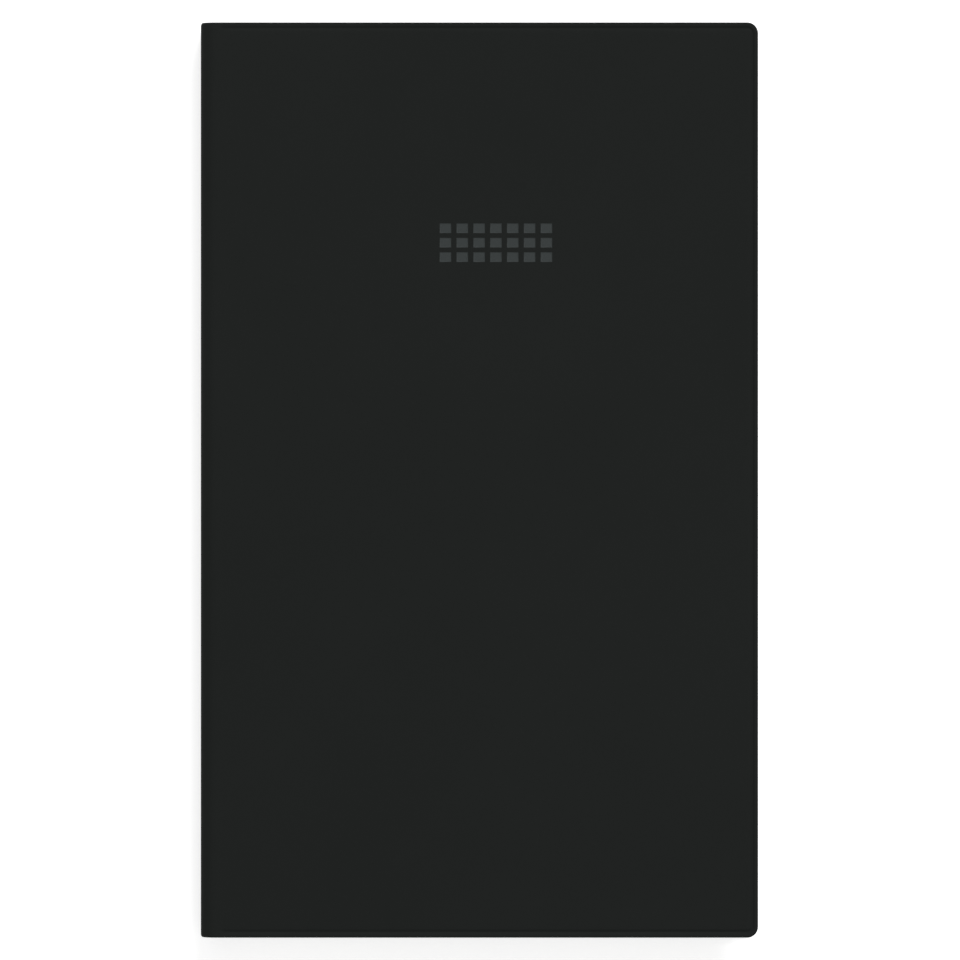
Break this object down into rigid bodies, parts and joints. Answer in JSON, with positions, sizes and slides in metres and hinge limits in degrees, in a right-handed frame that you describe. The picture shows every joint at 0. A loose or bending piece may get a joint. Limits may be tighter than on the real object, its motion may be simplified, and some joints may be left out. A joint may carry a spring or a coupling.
{
  "type": "pocket planner",
  "caption": "Slim upright pocket planner: sewn page sections in a soft black welded cover with inner pockets, opening flat along a hollow spine.",
  "frame": {"origin": "middle of the back cover's outline, on the surface it lies on", "axes": "+Z from back cover to front cover, +Y toward the head of the pages, +X from spine to fore-edge"},
  "size_m": [0.0928, 0.1524, 0.0106],
  "materials": {
    "cover_film": "soft black cover film, very fine grain",
    "lining_film": "thin black film, smoother than the cover",
    "board": "grey board",
    "card": "stiff card",
    "paper": "smooth writing paper, off white",
    "gauze": "open woven gauze",
    "thread": "twisted sewing thread"
  },
  "bodies": {
    "back_cover": {"back_cover_skin": "cover_film", "back_cover_board": "board", "back_cover_lining": "lining_film", "back_pocket_flap": "lining_film", "back_fold_film": "cover_film"},
    "back_block": {"section_8": "paper", "back_card_leaf": "card", "back_spine_gauze": "gauze", "back_sewing_thread": "thread"},
    "front_block": {"section_1": "paper", "front_spine_gauze": "gauze", "front_sewing_thread": "thread"},
    "spine": {"spine_skin": "cover_film", "spine_lining": "lining_film"},
    "front_cover": {"front_cover_skin": "cover_film", "front_cover_board": "board", "front_cover_lining": "lining_film", "front_pocket_flap": "lining_film", "front_fold_film": "cover_film"},
    "front_card": {"front_card_leaf": "card"},
    "section_2": {"section_2": "paper"},
    "section_3": {"section_3": "paper"},
    "section_4": {"section_4": "paper"},
    "section_5": {"section_5": "paper"},
    "section_6": {"section_6": "paper"},
    "section_7": {"section_7": "paper"}
  },
  "joints": [
    {"name": "block_slide", "type": "slide", "parent": "back_cover", "child": "back_block", "axis": [-1, 0, 0], "range_m": [0, 0.0053]},
    {"name": "spread_open", "type": "hinge", "parent": "back_block", "child": "front_block", "pos_m": [-0.0436, 0, 0.0053], "axis": [0, -1, 0], "range_deg": [0, 180]},
    {"name": "back_fold", "type": "hinge", "parent": "back_cover", "child": "spine", "pos_m": [-0.04589, 0, 0.00052], "axis": [0, -1, 0], "range_deg": [0, 90], "deforming": ["back_fold_film"]},
    {"name": "front_fold", "type": "hinge", "parent": "spine", "child": "front_cover", "pos_m": [-0.04589, 0, 0.01009], "axis": [0, -1, 0], "range_deg": [0, 90], "deforming": ["front_fold_film"]},
    {"name": "front_card_slide", "type": "slide", "parent": "front_cover", "child": "front_card", "axis": [-1, 0, 0], "range_m": [0, 0.0053]},
    {"name": "section_2_fan", "type": "hinge", "parent": "front_block", "child": "section_2", "pos_m": [-0.04264, 0, 0.0073], "axis": [0, 1, 0], "range_deg": [0, 2]},
    {"name": "section_3_fan", "type": "hinge", "parent": "front_block", "child": "section_3", "pos_m": [-0.04264, 0, 0.0065], "axis": [0, 1, 0], "range_deg": [0, 4]},
    {"name": "section_4_fan", "type": "hinge", "parent": "front_block", "child": "section_4", "pos_m": [-0.04264, 0, 0.0057], "axis": [0, 1, 0], "range_deg": [0, 6]},
    {"name": "section_5_fan", "type": "hinge", "parent": "back_block", "child": "section_5", "pos_m": [-0.04264, 0, 0.0049], "axis": [0, -1, 0], "range_deg": [0, 6]},
    {"name": "section_6_fan", "type": "hinge", "parent": "back_block", "child": "section_6", "pos_m": [-0.04264, 0, 0.0041], "axis": [0, -1, 0], "range_deg": [0, 4]},
    {"name": "section_7_fan", "type": "hinge", "parent": "back_block", "child": "section_7", "pos_m": [-0.04264, 0, 0.0033], "axis": [0, -1, 0], "range_deg": [0, 2]}
  ],
  "couplings": [
    {"joint": "block_slide", "follows": "spread_open", "m_per_rad": 0.001687},
    {"joint": "back_fold", "follows": "spread_open", "ratio": 0.5},
    {"joint": "front_fold", "follows": "spread_open", "ratio": 0.5},
    {"joint": "front_card_slide", "follows": "spread_open", "m_per_rad": 0.001687},
    {"joint": "section_2_fan", "follows": "spread_open", "ratio": 0.011111},
    {"joint": "section_3_fan", "follows": "spread_open", "ratio": 0.022222},
    {"joint": "section_4_fan", "follows": "spread_open", "ratio": 0.033333},
    {"joint": "section_5_fan", "follows": "spread_open", "ratio": 0.033333},
    {"joint": "section_6_fan", "follows": "spread_open", "ratio": 0.022222},
    {"joint": "section_7_fan", "follows": "spread_open", "ratio": 0.011111}
  ]
}
